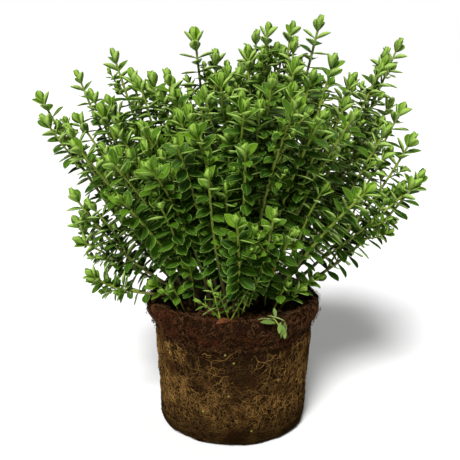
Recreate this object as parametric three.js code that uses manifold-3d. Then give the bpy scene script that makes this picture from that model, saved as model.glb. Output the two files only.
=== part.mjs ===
// A hebe lifted out of its two-litre nursery pot: the moulded ball of compost and roots, the leafy shoots
// that are planted in it, and a few leaves that have dropped on it.
// Millimetres, +Z up, the front towards -Y, and the origin at the middle of the ball's flat foot.
import * as THREE from "three";
import { mergeVertices } from "three/addons/utils/BufferGeometryUtils.js";
import Module from "manifold-3d";

const wasm = await Module();
wasm.setup();

// ---- Driving dimensions ----

// The root ball, as the pot moulded it.
const ballHeight = 130;
const footRadius = 73; // flat foot, before its edge is rounded
const footRound = 7;
const collarRadius = 85; // the wider band that the pot's rim leaves
const collarHeight = 24;
const collarStep = 6.5; // how far the collar stands out from the wall below it
const collarSlope = 12; // height of the sloping step under the collar
const lipRound = 5;
const lipWidth = 8; // raised edge around the soil
const soilDrop = 5; // soil surface below the collar's top
const ballSegments = 40;

// The shrub that the shoots make up.
const shrubReach = 190; // from the axis to the furthest tip
const shrubHeight = 272; // from the soil to the highest tip
const middleSpread = 0.6; // the tallest shoots spring from this share of the way out that they lean
const edgeSpread = 0.5; // and the lowest from this much further

// One shoot.
const stemFootRadius = 2.2;
const stemTipRadius = 1.1;
const neckHeight = 8; // the stem rises straight out of the soil for this far
const plantingDepth = 7;
const swayReach = 5; // most that a stem wanders to one side
const budLength = 13;
const budRadius = 3;
const leafyShare = 0.83; // share of a stem that carries leaves
const twist = 2.4; // radians that each shoot is turned from the one before
const vigourRange = 0.1; // shoots carry leaves this share bigger or smaller

// The side branches of a shoot.
const stemPerBranch = 70; // length of stem for each branch
const lowestBranch = 0.24; // the first one's place, as a share of the stem
const branchStep = 0.2; // and how much higher the next one starts
const branchShare = 0.8; // length of a branch as a share of the stem above its start
const branchSpread = 0.25; // how far its tip stands off its stem, as a share of its length
const elbowReach = 0.3; // it turns to run beside its stem this share of its length along
const elbowSpread = 0.8; // by which it stands off this share of the way
const undersideDip = 0.1; // no branch springs from a side that faces down by more than this
const branchThickness = 0.75; // share of its stem's radius
const branchNumbers = 7; // a branch's number is so many parts on from its shoot's

// One pair of leaves.
const pairSpacing = 6.5;
const leafLength = 17;
const leafWidth = 10;
const leafThickness = 1.2;
const widestAt = 0.56; // share of the leaf's length at its widest
const oldLift = 0.06; // radians that the oldest leaves stand up
const youngLift = 0.72; // and how much more the youngest do
const youngPairs = 1.7; // pairs over which that fades
const liftRange = 0.14;
const youngShortfall = 0.14; // share that the youngest leaves are short of full size
const growingPairs = 1.6; // pairs over which they fill out
const sizeRange = 0.08;

const clearance = 0.3; // between any two pieces
const pairsModelled = 7; // one pair in seven is solid here, an odd number, so that crossed pairs still alternate

const wallTopRadius = collarRadius - collarStep;
const soilRadius = collarRadius - lipRound - lipWidth;
const soilLevel = ballHeight - soilDrop;

// Where each shoot ends, as [right, back, up, bow]. Right and back are percent of the shrub's reach, up is
// percent of its height. Bow is how far, in percent, the stem swings outwards before it turns up.
const planting = {
  left: [
    [-98, 5, 75, 10],
    [-81, 18, 82, 8],
    [-81, -9, 64, 8],
    [-72, -40, 61, -4],
    [-67, 2, 70, 4],
    [-61, 11, 89, 4],
    [-55, -26, 64, -8],
    [-42, -34, 66, -10],
    [-55, -50, 57, -10],
    [-37, -58, 56, -13],
    [-50, -57, 46, -8],
    [-81, -7, 41, 14],
    [-84, 12, 28, 18],
    [-71, -20, 14, 30],
  ],
  top: [
    [-41, 2, 81, 0],
    [-32, -9, 82, -2],
    [-20, 21, 96, 2],
    [-25, -57, 63, -14],
    [-17, -52, 66, -12],
    [-6, -37, 81, -8],
    [-9, 33, 89, 3],
    [13, 37, 96, 3],
    [17, 5, 98, 2],
    [31, 24, 99, 3],
    [43, 5, 100, 2],
    [5, -50, 73, -12],
    [17, -43, 81, -8],
    [27, -57, 75, -10],
  ],
  right: [
    [36, -31, 82, -6],
    [50, 0, 87, 2],
    [61, 13, 80, 4],
    [39, -48, 70, -12],
    [56, -32, 70, -8],
    [89, 32, 93, 6],
    [89, 45, 71, 8],
    [89, 18, 70, 8],
    [92, 4, 60, 12],
    [94, -9, 48, 14],
    [64, -38, 47, -6],
  ],
  front: [
    [-11, -55, 54, 4],
    [5, -55, 61, -12],
    [1, -62, 41, 10],
    [18, -56, 42, 10],
  ],
  back: [
    [-68, 47, 64, 2],
    [-48, 67, 58, -6],
    [-34, 52, 78, -6],
    [-12, 74, 66, -10],
    [6, 60, 84, -6],
    [26, 76, 62, -10],
    [40, 55, 80, -6],
    [60, 64, 66, -2],
    [-62, 66, 32, 12],
    [-18, 86, 38, 10],
    [30, 88, 34, 12],
    [72, 62, 36, 12],
  ],
};

// ---- Solids ----

// A repeatable number from -1 to 1 for the pair (a, b), so that no two leaves are quite alike.
function vary(a, b) {
  const wave = Math.sin(12.9898 * a + 78.233 * b) * 43758.5453;
  return 2 * (wave - Math.floor(wave)) - 1;
}

function geometryOf(points, faces) {
  const geometry = new THREE.BufferGeometry().setFromPoints(points);
  geometry.setIndex(faces.flat());
  geometry.computeVertexNormals();
  return geometry;
}

function solidOf(geometry) {
  const bare = geometry.clone();
  bare.deleteAttribute("normal");
  bare.deleteAttribute("uv");
  const merged = mergeVertices(bare, 1e-3);
  return new wasm.Manifold(
    new wasm.Mesh({
      numProp: 3,
      vertProperties: merged.attributes.position.array,
      triVerts: new Uint32Array(merged.index.array),
    }),
  );
}

function geometryFrom(solid) {
  const mesh = solid.getMesh();
  const geometry = new THREE.BufferGeometry();
  geometry.setAttribute("position", new THREE.BufferAttribute(mesh.vertProperties, 3));
  geometry.setIndex(new THREE.BufferAttribute(mesh.triVerts, 1));
  geometry.computeVertexNormals();
  return geometry;
}

// ---- Stems ----

// A shoot's centreline: straight up through the soil and the neck, then one smooth bow out to the tip.
function shootOf([right, back, up, bow], number) {
  const tip = new THREE.Vector3(
    (shrubReach * right) / 100,
    (shrubReach * back) / 100,
    soilLevel + (shrubHeight * up) / 100,
  );
  const reach = Math.hypot(right, back) / 100;
  const lean = new THREE.Vector3(tip.x, tip.y, 0).normalize();
  // Low shoots spring from near the collar and tall ones from the middle.
  const foot = lean.clone().multiplyScalar(soilRadius * reach * (middleSpread + edgeSpread * (1 - up / 100)));
  foot.z = soilLevel;
  const neck = foot.clone().setZ(soilLevel + neckHeight);
  const rise = tip.clone().sub(neck);
  const turn = neck.clone();
  turn.x += rise.x * (0.5 + bow / 100);
  turn.y += rise.y * (0.5 + bow / 100);
  turn.z += rise.z * (0.5 - bow / 100);
  const side = new THREE.Vector3(-lean.y, lean.x, 0);
  const course = courseOf(number, neck, turn, tip, side, swayReach);
  const thickening = (stemFootRadius - stemTipRadius) * Math.min(1, course.length / shrubHeight);
  return { ...course, foot, footRadius: stemTipRadius + thickening };
}

// What a shoot and a branch have in common: the curve from neck to tip by way of turn, which bends in the plane
// across side, and what grows on it.
function courseOf(number, neck, turn, tip, side, swayMost) {
  const length = turn.distanceTo(neck) + tip.distanceTo(turn);
  return {
    number,
    neck,
    turn,
    tip,
    side,
    length,
    pairs: Math.floor((length * leafyShare - budLength) / pairSpacing),
    sway: swayMost * vary(number, 1),
    phase: number * twist,
    vigour: 1 + vigourRange * vary(number, 2),
  };
}

// The branches of a shoot. Each springs from the axil of a leaf and soon runs beside its stem.
function branchesOf(shoot) {
  const count = Math.floor(shoot.length / stemPerBranch);
  return Array.from({ length: count }, (_, k) => {
    const aim = lowestBranch + branchStep * k;
    const pair = Math.round((shoot.length * (1 - aim) - budLength) / pairSpacing);
    const place = pairPlace(shoot, pair);
    const frame = frameAt(shoot, place);
    const face = (pair % 2) + 2 * ((shoot.number + k) % 2);
    const radial = around(frame, shoot.phase + (face * Math.PI) / 2);
    if (radial.z < -undersideDip) radial.negate();
    const reach = branchShare * (1 - place) * shoot.length;
    const neck = frame.centre;
    const turn = neck.clone().addScaledVector(frame.along, elbowReach * reach);
    turn.addScaledVector(radial, elbowSpread * branchSpread * reach);
    const tip = neck.clone().addScaledVector(frame.along, reach);
    tip.addScaledVector(radial, branchSpread * reach);
    const side = new THREE.Vector3().crossVectors(frame.along, radial);
    const number = shoot.number + (k + 1) / branchNumbers;
    return { ...courseOf(number, neck, turn, tip, side, 0), footRadius: branchThickness * frame.radius };
  });
}

// The frame of a shoot at t, from 0 at the neck to 1 at the tip: the centre, the direction along the stem,
// two directions across it, and the stem's radius.
function frameAt(shoot, t) {
  const { neck, turn, tip, side, sway } = shoot;
  const centre = neck
    .clone()
    .multiplyScalar((1 - t) * (1 - t))
    .addScaledVector(turn, 2 * t * (1 - t))
    .addScaledVector(tip, t * t)
    .addScaledVector(side, sway * Math.sin(Math.PI * t));
  const along = turn
    .clone()
    .sub(neck)
    .multiplyScalar(2 * (1 - t))
    .addScaledVector(tip.clone().sub(turn), 2 * t)
    .addScaledVector(side, sway * Math.PI * Math.cos(Math.PI * t))
    .normalize();
  return acrossFrom(shoot, centre, along, shoot.footRadius + (stemTipRadius - shoot.footRadius) * t);
}

function acrossFrom(shoot, centre, along, radius) {
  const outward = new THREE.Vector3().crossVectors(shoot.side, along).normalize();
  const sideways = new THREE.Vector3().crossVectors(along, outward);
  return { centre, along, outward, sideways, radius };
}

// The direction across the stem at an angle round it.
function around(frame, angle) {
  return frame.outward
    .clone()
    .multiplyScalar(Math.cos(angle))
    .addScaledVector(frame.sideways, Math.sin(angle));
}

// The four corners of the stem's square section, between the faces that carry leaves.
function corners(shoot, frame, room = 0) {
  return [0, 1, 2, 3].map((k) => {
    const direction = around(frame, shoot.phase + (k - 0.5) * (Math.PI / 2));
    return frame.centre.clone().addScaledVector(direction, frame.radius + room);
  });
}

// ---- Leaves ----

// How far down from the tip pair i stands, as t on the shoot.
function pairPlace(shoot, i) {
  return 1 - (budLength + i * pairSpacing) / shoot.length;
}

// One leaf of pair i, on face 0 to 3 of the stem: its two widest points and its tip. Young leaves near the bud
// are shorter and stand up, and old ones spread almost level.
function leafPoints(shoot, i, face, extra = 0) {
  const frame = frameAt(shoot, pairPlace(shoot, i));
  const radial = around(frame, shoot.phase + (face * Math.PI) / 2);
  const across = new THREE.Vector3().crossVectors(frame.along, radial);
  const key = 100 * shoot.number + 4 * i + face;
  const lift = oldLift + youngLift * Math.exp(-i / youngPairs) + liftRange * vary(key, 3);
  const filled = 1 - youngShortfall * Math.exp(-i / growingPairs);
  const size = shoot.vigour * filled * (1 + sizeRange * vary(key, 4));
  const out = radial.clone().multiplyScalar(Math.cos(lift)).addScaledVector(frame.along, Math.sin(lift));
  const start = frame.centre.clone().addScaledVector(radial, frame.radius * Math.SQRT1_2);
  const middle = start.clone().addScaledVector(out, leafLength * size * widestAt);
  const half = (leafWidth * size) / 2 + extra;
  return {
    start,
    right: middle.clone().addScaledVector(across, half),
    left: middle.clone().addScaledVector(across, -half),
    tip: start.clone().addScaledVector(out, leafLength * size + extra),
  };
}

// The eight faces of a leaf that grows out of the stem's side between two corners of the lower ring (a, b)
// and the same two of the upper ring (c, d).
function leafFaces(a, b, c, d, right, left, tip) {
  return [
    [c, d, tip],
    [d, left, tip],
    [c, tip, right],
    [a, b, right],
    [a, right, left],
    [left, right, tip],
    [b, c, right],
    [d, a, left],
  ];
}

// A leaf by itself with a skin of clearance around it, to find what it would touch.
function leafWithRoom(shoot, i, face) {
  const { start, right, left, tip } = leafPoints(shoot, i, face, clearance);
  const frame = frameAt(shoot, pairPlace(shoot, i));
  const across = right.clone().sub(left).setLength(frame.radius);
  const lift = frame.along.clone().multiplyScalar(leafThickness / 2 + clearance);
  const points = [
    start.clone().sub(across).sub(lift),
    start.clone().add(across).sub(lift),
    start.clone().add(across).add(lift),
    start.clone().sub(across).add(lift),
    right,
    left,
    tip,
  ];
  const faces = leafFaces(0, 1, 2, 3, 4, 5, 6).concat([
    [0, 3, 2],
    [0, 2, 1],
  ]);
  return solidOf(geometryOf(points, faces));
}

// ---- A whole shoot ----

// Rings of a stem from its planted end, or of a branch from inside its stem, to the bud's tip. A ring at which a
// pair of leaves grows is double, a leaf's thickness apart.
function ringsOf(shoot) {
  const up = new THREE.Vector3(0, 0, 1);
  const rings = [];
  if (shoot.foot) {
    const planted = shoot.foot.clone().setZ(soilLevel - plantingDepth);
    rings.push({ frame: acrossFrom(shoot, planted, up, shoot.footRadius) });
    rings.push({ frame: acrossFrom(shoot, shoot.neck, up, shoot.footRadius) });
  } else {
    rings.push({ frame: frameAt(shoot, 0) });
  }
  const places = [];
  for (let i = 1; i < shoot.pairs; i += pairsModelled) places.unshift(i);
  const half = leafThickness / 2 / shoot.length;
  const lowest = pairPlace(shoot, places.length ? places[0] : 0);
  rings.push({ frame: frameAt(shoot, lowest / 2) });
  for (const i of places) {
    rings.push({ frame: frameAt(shoot, pairPlace(shoot, i) - half), pair: i });
    rings.push({ frame: frameAt(shoot, pairPlace(shoot, i) + half) });
  }
  rings.push({ frame: frameAt(shoot, 1 - budLength / shoot.length) });
  const bud = frameAt(shoot, 1 - budLength / 2 / shoot.length);
  rings.push({ frame: { ...bud, radius: budRadius } });
  return rings;
}

// The closed skin of a shoot or branch. growing(i, face) says whether that leaf is there.
function skinOf(shoot, growing, room = 0) {
  const points = [];
  const faces = [];
  const rings = ringsOf(shoot);
  rings.forEach((ring) => points.push(...corners(shoot, ring.frame, room)));
  rings.slice(1).forEach((_, n) => {
    const { pair } = rings[n];
    for (let face = 0; face < 4; face += 1) {
      const next = (face + 1) % 4;
      const [a, b, c, d] = [4 * n + face, 4 * n + next, 4 * n + 4 + next, 4 * n + 4 + face];
      const bears = pair !== undefined && face % 2 === pair % 2 && growing(pair, face);
      if (!bears) {
        faces.push([a, b, c], [a, c, d]);
        continue;
      }
      const { right, left, tip } = leafPoints(shoot, pair, face);
      const first = points.push(right, left, tip) - 3;
      faces.push(...leafFaces(a, b, c, d, first, first + 1, first + 2));
    }
  });
  faces.push([0, 2, 1], [0, 3, 2]);
  const last = 4 * (rings.length - 1);
  const apex = points.push(shoot.tip.clone()) - 1;
  for (let face = 0; face < 4; face += 1) faces.push([last + face, last + ((face + 1) % 4), apex]);
  return geometryOf(points, faces);
}

// ---- The root ball ----

function ballProfile() {
  const wallSlope = Math.atan2(wallTopRadius - footRadius, ballHeight - collarHeight);
  const path = new THREE.Path();
  path.moveTo(0, 0);
  path.lineTo(footRadius - footRound, 0);
  path.absarc(footRadius - footRound, footRound, footRound, -Math.PI / 2, wallSlope, false);
  path.lineTo(wallTopRadius, ballHeight - collarHeight);
  path.lineTo(collarRadius, ballHeight - collarHeight + collarSlope);
  path.lineTo(collarRadius, ballHeight - lipRound);
  path.absarc(collarRadius - lipRound, ballHeight - lipRound, lipRound, 0, Math.PI / 2, false);
  path.lineTo(soilRadius, soilLevel);
  path.lineTo(0, soilLevel);
  return path.getPoints(2);
}

// The hole that a planted stem fills, with clearance all round.
function socketOf(shoot) {
  const up = new THREE.Vector3(0, 0, 1);
  const radius = shoot.footRadius + clearance * Math.SQRT2;
  const ends = [soilLevel - plantingDepth - clearance, soilLevel + 1];
  const points = ends.flatMap((z) =>
    corners(shoot, acrossFrom(shoot, shoot.foot.clone().setZ(z), up, radius)),
  );
  const faces = [0, 1, 2, 3].flatMap((k) => {
    const next = (k + 1) % 4;
    return [
      [k, next, 4 + next],
      [k, 4 + next, 4 + k],
    ];
  });
  faces.push([0, 2, 1], [0, 3, 2], [4, 5, 6], [4, 6, 7]);
  return solidOf(geometryOf(points, faces));
}

function ballWithSockets(shoots) {
  const lathe = new THREE.LatheGeometry(ballProfile(), ballSegments).rotateX(Math.PI / 2);
  return shoots.reduce((ball, shoot) => ball.subtract(socketOf(shoot)), solidOf(lathe));
}

// ---- Dropped leaves ----

const droppedLength = 15;
const droppedWidth = 6.5;
const droppedThickness = 1;

const dryLeaf = new THREE.MeshStandardMaterial({ color: 0x7d4a2a, roughness: 0.9 });
const fadedLeaf = new THREE.MeshStandardMaterial({ color: 0x8f9e4e, roughness: 0.8 });

// Two lie on the edge of the collar and one has slid down over it. Bearing is the place round the collar and turn
// is how the leaf lies, in degrees.
const dropped = [
  { name: "dropped_leaf_dry", material: dryLeaf, bearing: -96, turn: 35, hanging: false },
  { name: "dropped_leaf_green", material: fadedLeaf, bearing: -68, turn: 8, hanging: false },
  { name: "dropped_leaf_hanging", material: fadedLeaf, bearing: -58, turn: 0, hanging: true },
];

// A flat leaf lying along X with its underside at z = 0.
function droppedLeaf() {
  const outline = new THREE.Shape();
  outline.moveTo(-droppedLength / 2, 0);
  outline.quadraticCurveTo(0, -droppedWidth, droppedLength / 2, 0);
  outline.quadraticCurveTo(0, droppedWidth, -droppedLength / 2, 0);
  return new THREE.ExtrudeGeometry(outline, {
    depth: droppedThickness,
    bevelEnabled: false,
    curveSegments: 5,
  });
}

function droppedMesh({ name, material, bearing, turn, hanging }) {
  const mesh = new THREE.Mesh(droppedLeaf(), material);
  mesh.name = name;
  const holder = new THREE.Group();
  holder.rotation.z = THREE.MathUtils.degToRad(bearing);
  if (hanging) {
    const bandFoot = ballHeight - collarHeight + collarSlope;
    const bandTop = ballHeight - lipRound;
    mesh.rotation.y = Math.PI / 2;
    mesh.position.set(collarRadius + clearance, 0, (bandFoot + bandTop) / 2);
  } else {
    mesh.rotation.z = THREE.MathUtils.degToRad(turn) - holder.rotation.z;
    mesh.position.set(collarRadius - lipRound, 0, ballHeight + clearance);
  }
  holder.add(mesh);
  return holder;
}

// ---- Shedding ----

// A crowded shrub sheds the leaves that rub on their neighbours. Everything that stands is listed here with its
// owner, and a leaf grows only where the room it needs is free of all but its own shoot.
const standing = [];

function addStanding(owner, solid) {
  standing.push({ owner, solid, box: solid.boundingBox() });
}

function isFree(solid, ...owners) {
  const box = solid.boundingBox();
  const meets = (other) =>
    [0, 1, 2].every((k) => box.min[k] < other.box.max[k] && other.box.min[k] < box.max[k]) &&
    !solid.intersect(other.solid).isEmpty();
  return !standing.some((other) => !owners.includes(other.owner) && meets(other));
}

const bare = () => false;

// The branches of a shoot that have room, listed as standing.
function branchesWithRoom(shoot) {
  return branchesOf(shoot).filter((branch) => {
    const free = isFree(solidOf(skinOf(branch, bare, clearance)), shoot.number);
    if (free) addStanding(branch.number, solidOf(skinOf(branch, bare)));
    return free;
  });
}

// A shoot or branch with each of its leaves that has room.
function inLeaf(shoot) {
  const grown = new Set();
  for (let pair = 1; pair < shoot.pairs; pair += pairsModelled) {
    for (const face of [pair % 2, (pair % 2) + 2]) {
      const room = leafWithRoom(shoot, pair, face);
      if (!isFree(room, shoot.number)) continue;
      addStanding(shoot.number, room);
      grown.add(4 * pair + face);
    }
  }
  return solidOf(skinOf(shoot, (pair, face) => grown.has(4 * pair + face)));
}

// ---- The plant, put together ----

const compost = new THREE.MeshStandardMaterial({ color: 0x4a3522, roughness: 1 });
const foliage = new THREE.MeshStandardMaterial({ color: 0x5d8a2c, roughness: 0.6 });

const shoots = Object.entries(planting).flatMap(([place, ends]) =>
  ends.map((end, n) => ({ name: `shoot_${place}_${n + 1}`, end })),
);
shoots.forEach((shoot, number) => Object.assign(shoot, shootOf(shoot.end, number)));

const plant = new THREE.Group();

const ball = ballWithSockets(shoots);
const ballMesh = new THREE.Mesh(geometryFrom(ball), compost);
ballMesh.name = "root_ball";
plant.add(ballMesh);
plant.add(...dropped.map(droppedMesh));
plant.updateMatrixWorld(true);
plant.traverse((part) => {
  if (part.isMesh) addStanding(part.name, solidOf(part.geometry.clone().applyMatrix4(part.matrixWorld)));
});

for (const shoot of shoots) addStanding(shoot.number, solidOf(skinOf(shoot, bare)));
for (const shoot of shoots) shoot.branches = branchesWithRoom(shoot);

for (const shoot of shoots) {
  const grown = wasm.Manifold.union([shoot, ...shoot.branches].map(inLeaf));
  const mesh = new THREE.Mesh(geometryFrom(grown), foliage);
  mesh.name = shoot.name;
  plant.add(mesh);
}

export default plant;
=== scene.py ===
"""A hebe lifted out of its nursery pot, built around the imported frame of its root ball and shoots.

Metres, +Z up, the front of the plant towards -Y, the ball's flat foot on z = 0.
"""

import math

import bpy
import numpy as np
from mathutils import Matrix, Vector


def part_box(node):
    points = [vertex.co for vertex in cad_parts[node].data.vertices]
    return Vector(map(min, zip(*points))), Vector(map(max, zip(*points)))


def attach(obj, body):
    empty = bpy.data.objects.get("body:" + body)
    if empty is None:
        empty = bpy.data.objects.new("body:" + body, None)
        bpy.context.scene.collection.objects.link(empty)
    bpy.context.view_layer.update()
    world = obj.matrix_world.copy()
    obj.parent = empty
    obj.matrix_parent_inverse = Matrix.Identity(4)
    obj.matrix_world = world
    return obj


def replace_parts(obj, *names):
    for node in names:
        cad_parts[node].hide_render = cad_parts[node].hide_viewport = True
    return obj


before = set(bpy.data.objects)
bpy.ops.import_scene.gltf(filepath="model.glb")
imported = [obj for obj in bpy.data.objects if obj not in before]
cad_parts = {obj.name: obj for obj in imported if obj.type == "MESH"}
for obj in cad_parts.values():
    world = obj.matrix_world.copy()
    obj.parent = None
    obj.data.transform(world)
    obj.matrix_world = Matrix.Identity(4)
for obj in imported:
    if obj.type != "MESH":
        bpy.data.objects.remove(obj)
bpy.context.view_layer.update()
mm = 0.001

# ------------------------------------------------------------
# The studio. A camera a little above the plant looks down on it, and it stands on plain white paper that
# runs on to the horizon. One broad lamp shines over the camera's shoulder, a weak one from above, and the
# walls are white card.
# ------------------------------------------------------------

camera_data = bpy.data.cameras.new("camera")
camera_data.sensor_width = 36
camera_data.lens = 54.8
looking_down = 13.9
camera = bpy.data.objects.new("camera", camera_data)
camera.location = (-0.003, -0.670, 0.361)
camera.rotation_euler = (math.radians(90 - looking_down), 0, 0)
bpy.context.scene.collection.objects.link(camera)
bpy.context.scene.camera = camera
bpy.context.scene.view_settings.view_transform = "Standard"


def broad_lamp(name, place, strength, spread):
    """A lamp so far away that it lights the whole paper alike, shining from place to the middle of the
    plant. The spread is the angle that it covers, in degrees, which softens its shadows."""
    data = bpy.data.lights.new(name, "SUN")
    data.energy = strength
    data.angle = math.radians(spread)
    light = bpy.data.objects.new(name, data)
    light.location = place
    light.rotation_euler = (Vector((0, 0, 0.2)) - Vector(place)).to_track_quat("-Z", "Y").to_euler()
    bpy.context.scene.collection.objects.link(light)


broad_lamp("key_light", (-0.3, -1.0, 1.35), 4.4, 20)
broad_lamp("top_light", (0.3, 0.4, 1.8), 0.8, 40)

# The card is white where the camera sees it, and throws only a little of that back on the plant.
world = bpy.data.worlds.new("white_card")
world.use_nodes = True
cards = world.node_tree
cards.nodes["Background"].inputs["Color"].default_value = (1, 1, 1, 1)
seen = cards.nodes.new("ShaderNodeLightPath").outputs["Is Camera Ray"]
strength = cards.nodes.new("ShaderNodeMapRange")
strength.inputs["To Min"].default_value = 0.07
cards.links.new(seen, strength.inputs["Value"])
cards.links.new(strength.outputs["Result"], cards.nodes["Background"].inputs["Strength"])
bpy.context.scene.world = world

paper = bpy.data.meshes.new("paper")
paper_half = 30.0
paper_corners = [(x * paper_half, y * paper_half, 0) for x, y in ((-1, -1), (1, -1), (1, 1), (-1, 1))]
paper.from_pydata(paper_corners, [], [(0, 1, 2, 3)])
paper_white = bpy.data.materials.new("paper_white")
paper_white.use_nodes = True
paper_inputs = paper_white.node_tree.nodes["Principled BSDF"].inputs
paper_inputs["Base Color"].default_value = (0.93, 0.93, 0.93, 1)
paper_inputs["Roughness"].default_value = 0.9
paper.materials.append(paper_white)
floor = bpy.data.objects.new("paper", paper)
bpy.context.scene.collection.objects.link(floor)

# ------------------------------------------------------------
# The compost of the root ball: dark moist peat that took the shape of a two-litre pot, with the wider
# band that the pot's rim left. It is one lathe-like skin, lumpy where roots and crumbs press out, and
# the soil is its top.
# ------------------------------------------------------------

ball_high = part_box("root_ball")[1]
ball_height = ball_high.z
collar_radius = ball_high.x
collar_height = 24 * mm
collar_slope = 12 * mm
wall_top_radius = collar_radius - 6.5 * mm
foot_radius = 73 * mm
foot_round = 7 * mm
lip_round = 5 * mm
lip_width = 8 * mm
soil_level = ball_height - 5 * mm
soil_radius = collar_radius - lip_round - lip_width


def arc(centre_r, centre_z, radius, start, end, count):
    """Points of a circle about (centre_r, centre_z), from the start angle to the end one, in degrees."""
    angle = np.radians(np.linspace(start, end, count))
    return np.stack([centre_r + radius * np.cos(angle), centre_z + radius * np.sin(angle)], 1)


wall_slope = math.degrees(math.atan2(wall_top_radius - foot_radius, ball_height - collar_height))
ball_outline = np.concatenate(
    [
        [[0, 0]],
        arc(foot_radius - foot_round, foot_round, foot_round, -90, wall_slope, 6),
        [[wall_top_radius, ball_height - collar_height]],
        [[collar_radius, ball_height - collar_height + collar_slope]],
        arc(collar_radius - lip_round, ball_height - lip_round, lip_round, 0, 90, 5),
        [[soil_radius, soil_level], [0, soil_level]],
    ]
)
outline_length = np.concatenate([[0], np.cumsum(np.hypot(*np.diff(ball_outline, axis=0).T))])


def on_outline(along):
    """Radius and height of the ball's outline, at a distance along it from the foot's centre."""
    return tuple(np.interp(along, outline_length, side) for side in ball_outline.T)


def outward(along):
    """The outline's outward direction, radial and upward parts, smoothed over 3 mm to round the corners."""
    reach = 1.5 * mm
    r1, z1 = on_outline(along + reach)
    r0, z0 = on_outline(along - reach)
    size = np.hypot(z1 - z0, r1 - r0) + 1e-9
    return (z1 - z0) / size, -(r1 - r0) / size


def lumps(turn, along, across_cells, along_cells, seed):
    """Smooth value noise from -1 to 1 on the unrolled skin: random heights on a grid of cells, which closes
    round the turn, blended between cells by the curve 3f^2 - 2f^3. Turn and along both run from 0 to 1."""
    heights = np.random.default_rng(seed).uniform(-1, 1, (across_cells, along_cells + 1))
    u = np.asarray(turn) * across_cells
    v = np.clip(np.asarray(along), 0, 1) * (along_cells - 1)
    i, j = np.floor(u).astype(int), np.floor(v).astype(int)
    f, g = u - i, v - j
    f, g = f * f * (3 - 2 * f), g * g * (3 - 2 * g)
    a, b = i % across_cells, (i + 1) % across_cells
    low = heights[a, j] * (1 - f) + heights[b, j] * f
    high = heights[a, j + 1] * (1 - f) + heights[b, j + 1] * f
    return low * (1 - g) + high * g


# Kinds of lump: height, cells round the ball and up its outline, and seed.
hollow = (1.1 * mm, 9, 8, 1)
thumb_lump = (0.8 * mm, 38, 26, 2)
skin_grain = (0.35 * mm, 130, 90, 3)
soil_clod = (1.8 * mm, 50, 80, 4)
collar_clod = (0.8 * mm, 84, 60, 5)
skin_depth = 0.6 * mm
foot_edge = 0.9 * mm
calm_centre = 20 * mm
thread_floor = 0.15 * mm


def skin_point(turn, along, lift=0.0):
    """A point of the ball's skin: turn from 0 to 1 round the axis, starting behind, and along in metres
    up the outline. Broad hollows, thumb-sized lumps and grains push it in or out, clods too on the collar
    and the soil, and lift stands off from that. It is calm about the axis, and the foot is only hollowed."""
    share = along / outline_length[-1]
    r, z = on_outline(along)
    out_r, out_z = outward(along)

    def pushed(height, round_cells, up_cells, seed):
        return height * lumps(turn, share, round_cells, up_cells, seed)

    on_collar = np.clip((share - 0.58) / 0.03, 0, 1)
    on_soil = np.clip((share - 0.80) / 0.04, 0, 1)
    push = pushed(*hollow) + pushed(*thumb_lump) + pushed(*skin_grain)
    push = push + on_collar * pushed(*collar_clod) + on_soil * (pushed(*soil_clod) - skin_depth)
    push = push * np.clip(r / calm_centre, 0, 1)
    on_foot = np.clip((foot_edge - z) / foot_edge, 0, 1)
    push = np.where(on_foot > 0, -np.abs(push) * 0.3, push) - skin_depth * (1 - on_foot) + lift
    angle = 2 * np.pi * turn + np.pi / 2
    radius = r + push * out_r
    height = np.maximum(z + push * out_z, thread_floor * (lift > 0))
    return np.stack([radius * np.cos(angle), radius * np.sin(angle), height], -1)


def ring_faces(rings, sides):
    """Faces of a closed tube of that many rings of that many points each, with its two end points last: the
    four-cornered ones between the rings, and the three-cornered ones that close the ends."""
    k = np.arange(sides)
    k1 = (k + 1) % sides
    level = np.arange(rings - 1)[:, None] * sides
    quads = np.stack([level + k, level + k1, level + sides + k1, level + sides + k], -1).reshape(-1, 4)
    last = (rings - 1) * sides
    start, end = np.full(sides, rings * sides), np.full(sides, rings * sides + 1)
    return quads, np.concatenate([np.stack([start, k1, k], 1), np.stack([end, last + k, last + k1], 1)])


def turned_out(quads):
    """The same four-cornered faces from the other side, each with its first corner kept."""
    return np.roll(quads[:, ::-1], 1, axis=1)


def mesh_object(name, points, quads, triangles, material, slot, smooth=True, **values):
    """A mesh from arrays of points, four-cornered and three-cornered faces, riding on the plant's body. It
    stores values, one number per point each, for its material to read."""
    points = np.asarray(points, np.float32).reshape(-1, 3)
    quads = np.asarray(quads, np.int32).reshape(-1, 4)
    triangles = np.asarray(triangles, np.int32).reshape(-1, 3)
    mesh = bpy.data.meshes.new(name)
    mesh.vertices.add(len(points))
    mesh.vertices.foreach_set("co", points.ravel())
    mesh.loops.add(quads.size + triangles.size)
    mesh.loops.foreach_set("vertex_index", np.concatenate([quads.ravel(), triangles.ravel()]))
    starts = np.concatenate([np.arange(len(quads)) * 4, quads.size + np.arange(len(triangles)) * 3])
    mesh.polygons.add(len(quads) + len(triangles))
    mesh.polygons.foreach_set("loop_start", starts.astype(np.int32))
    mesh.update(calc_edges=True)
    mesh.polygons.foreach_set("use_smooth", np.full(len(mesh.polygons), smooth))
    for value_name, numbers in values.items():
        layer = mesh.attributes.new(value_name, "FLOAT", "POINT")
        layer.data.foreach_set("value", np.asarray(numbers, np.float32).ravel())
    mesh.materials.append(material)
    made = bpy.data.objects.new(name, mesh)
    bpy.context.scene.collection.objects.link(made)
    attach(made, "root")
    return made


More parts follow.
